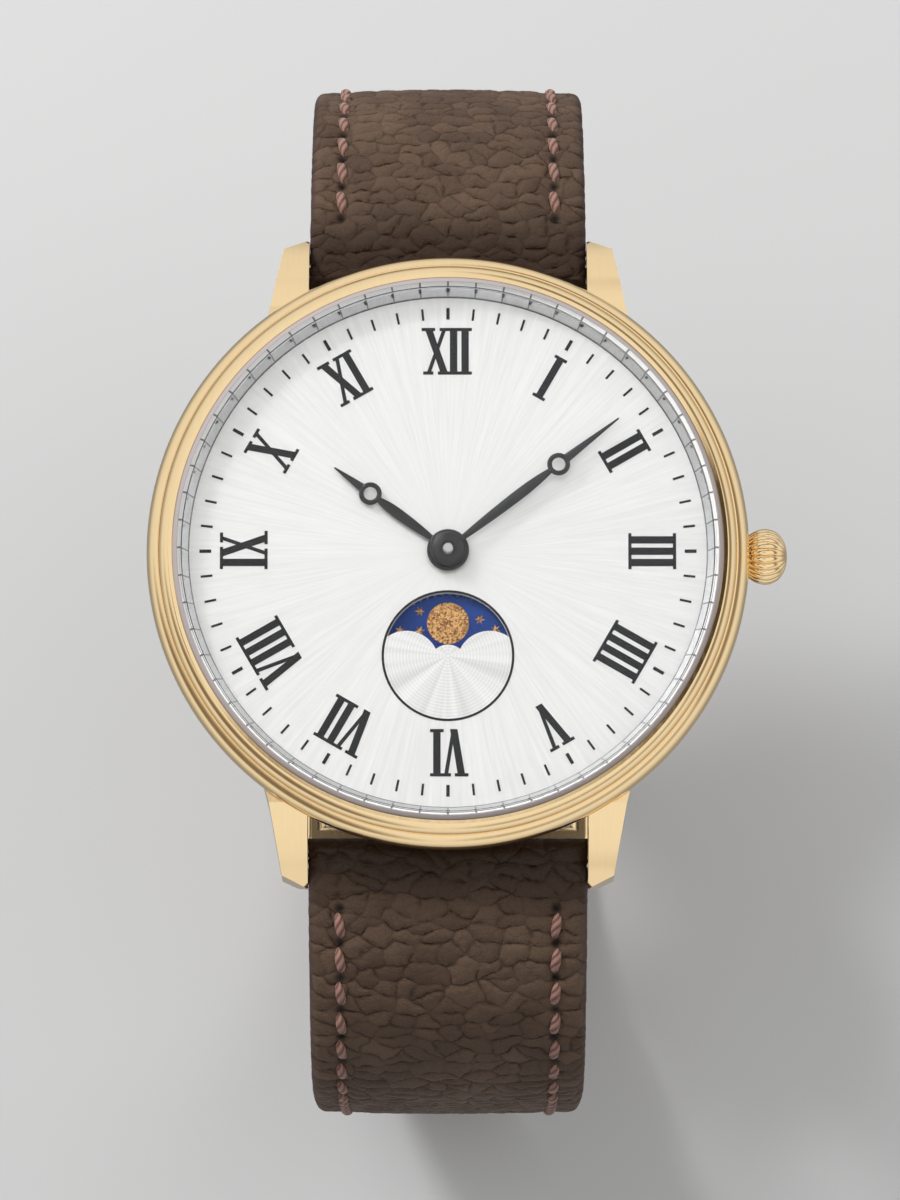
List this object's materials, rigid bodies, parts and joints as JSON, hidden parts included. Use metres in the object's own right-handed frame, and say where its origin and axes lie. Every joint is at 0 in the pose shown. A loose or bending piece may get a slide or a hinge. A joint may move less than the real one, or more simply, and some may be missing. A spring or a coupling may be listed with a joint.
{
  "type": "wristwatch",
  "caption": "Round gold-coloured dress watch with Roman numerals, a moon display at 6 o'clock and a brown leather strap, its pin buckle undone.",
  "frame": {"origin": "centre of the case back's outer face", "axes": "+Z out through the dial, +Y to 12 o'clock, +X to the crown"},
  "size_m": [0.0412, 0.0674, 0.0642],
  "materials": {
    "gold": "polished gold plating",
    "steel": "fine brushed",
    "dial_silver": "fine sunray satin",
    "print_black": "printed ink",
    "flange_silver": "polished",
    "crystal_glass": "clear polished",
    "hand_black": "semi-gloss",
    "moon_blue": "satin",
    "moon_gold": "textured foil",
    "nickel": "satin",
    "wheel_brass": "satin",
    "white_plastic": "matte",
    "board_green": "solder mask",
    "coil_copper": "enamelled wire",
    "gasket_rubber": "matte",
    "gasket_nylon": "translucent",
    "strap_leather": "pebbled grain, matte",
    "lining_leather": "smooth"
  },
  "bodies": {
    "case": {"case_middle": "gold", "bezel": "gold", "case_back": "steel", "crystal": "crystal_glass", "crystal_gasket": "gasket_nylon", "back_gasket": "gasket_rubber", "flange_ring": "flange_silver", "dial": "dial_silver", "minute_track": "print_black", "dial_numerals": "print_black", "moon_window_ring": "print_black", "movement_ring": "white_plastic", "main_plate": "nickel", "train_bridge": "nickel", "bridge_screws": "steel", "board_screw": "steel", "circuit_board": "board_green", "quartz_can": "steel", "motor_coil": "coil_copper", "coil_core": "steel", "stator": "steel", "battery": "steel", "battery_clamp": "steel", "stem_tube": "steel", "crown_gasket": "gasket_rubber", "spring_bar_12": "steel", "spring_bar_6": "steel", "lever_spring": "steel"},
    "minute_works": {"minute_hand": "hand_black", "cannon_pinion": "steel", "centre_wheel": "wheel_brass"},
    "hour_works": {"hour_hand": "hand_black", "hour_wheel": "wheel_brass"},
    "minute_wheel": {"minute_wheel": "wheel_brass"},
    "intermediate_wheel": {"intermediate_wheel": "wheel_brass"},
    "rotor": {"rotor": "steel"},
    "day_wheel": {"day_wheel": "white_plastic"},
    "moon_disc": {"moon_disc": "moon_blue", "moons": "moon_gold", "stars": "moon_gold"},
    "sliding_pinion": {"sliding_pinion": "steel"},
    "crown": {"crown": "gold", "stem": "steel"},
    "setting_lever": {"setting_lever": "steel"},
    "strap_12": {"strap_12_leather": "strap_leather", "strap_12_lining": "lining_leather", "fixed_keeper": "strap_leather", "buckle_bar": "steel"},
    "free_keeper": {"free_keeper": "strap_leather"},
    "buckle": {"buckle_frame": "gold"},
    "tongue": {"buckle_tongue": "gold"},
    "strap_6": {"strap_6_leather": "strap_leather", "strap_6_lining": "lining_leather"}
  },
  "joints": [
    {"name": "minute_hand_turn", "type": "hinge", "parent": "case", "child": "minute_works", "pos_m": [0, 0, 0.0062], "axis": [0, 0, -1], "continuous": true},
    {"name": "hour_hand_turn", "type": "hinge", "parent": "case", "child": "hour_works", "pos_m": [0, 0, 0.0059], "axis": [0, 0, -1], "continuous": true},
    {"name": "minute_wheel_turn", "type": "hinge", "parent": "case", "child": "minute_wheel", "pos_m": [0.00282, 0.00103, 0.0042], "axis": [0, 0, -1], "continuous": true},
    {"name": "day_wheel_turn", "type": "hinge", "parent": "case", "child": "day_wheel", "pos_m": [-0.00653, -0.00304, 0.0044], "axis": [0, 0, -1], "continuous": true},
    {"name": "moon_disc_turn", "type": "hinge", "parent": "case", "child": "moon_disc", "pos_m": [0, -0.00728, 0.0047], "axis": [0, 0, -1], "continuous": true},
    {"name": "intermediate_wheel_turn", "type": "hinge", "parent": "case", "child": "intermediate_wheel", "pos_m": [-0.00123, -0.00338, 0.0027], "axis": [0, 0, -1], "continuous": true},
    {"name": "rotor_turn", "type": "hinge", "parent": "case", "child": "rotor", "pos_m": [0.00042, -0.00624, 0.0023], "axis": [0, 0, -1], "continuous": true},
    {"name": "crown_turn", "type": "hinge", "parent": "case", "child": "sliding_pinion", "pos_m": [0.0069, 0, 0.0036], "axis": [1, 0, 0], "continuous": true},
    {"name": "crown_pull", "type": "slide", "parent": "sliding_pinion", "child": "crown", "axis": [1, 0, 0], "range_m": [0, 0.0012]},
    {"name": "setting_lever_turn", "type": "hinge", "parent": "case", "child": "setting_lever", "pos_m": [0.0099, 0.00308, 0.0042], "axis": [0, 0, 1], "range_deg": [0, 28.2]},
    {"name": "strap_12_hinge", "type": "hinge", "parent": "case", "child": "strap_12", "pos_m": [0, 0.0197, 0.00095], "axis": [1, 0, 0], "range_deg": [-20, 60]},
    {"name": "strap_6_hinge", "type": "hinge", "parent": "case", "child": "strap_6", "pos_m": [0, -0.0197, 0.00095], "axis": [-1, 0, 0], "range_deg": [-3, 60]},
    {"name": "free_keeper_slide", "type": "hinge", "parent": "strap_12", "child": "free_keeper", "pos_m": [0, 0.01035, -0.0107], "axis": [1, 0, 0], "range_deg": [-8, 40]},
    {"name": "buckle_hinge", "type": "hinge", "parent": "strap_12", "child": "buckle", "pos_m": [0, -0.00559, -0.03023], "axis": [1, 0, 0], "range_deg": [-50, 20]},
    {"name": "tongue_hinge", "type": "hinge", "parent": "buckle", "child": "tongue", "pos_m": [0, -0.00559, -0.03023], "axis": [1, 0, 0], "range_deg": [0, 85]}
  ],
  "couplings": [
    {"joint": "hour_hand_turn", "follows": "minute_hand_turn", "ratio": 0.083333},
    {"joint": "minute_wheel_turn", "follows": "minute_hand_turn", "ratio": -0.33333},
    {"joint": "day_wheel_turn", "follows": "minute_hand_turn", "ratio": -0.041667},
    {"joint": "moon_disc_turn", "follows": "minute_hand_turn", "ratio": 0.00070621},
    {"joint": "intermediate_wheel_turn", "follows": "minute_hand_turn", "ratio": -9},
    {"joint": "rotor_turn", "follows": "minute_hand_turn", "ratio": 90},
    {"joint": "setting_lever_turn", "follows": "crown_pull", "rad_per_m": 408.3}
  ]
}
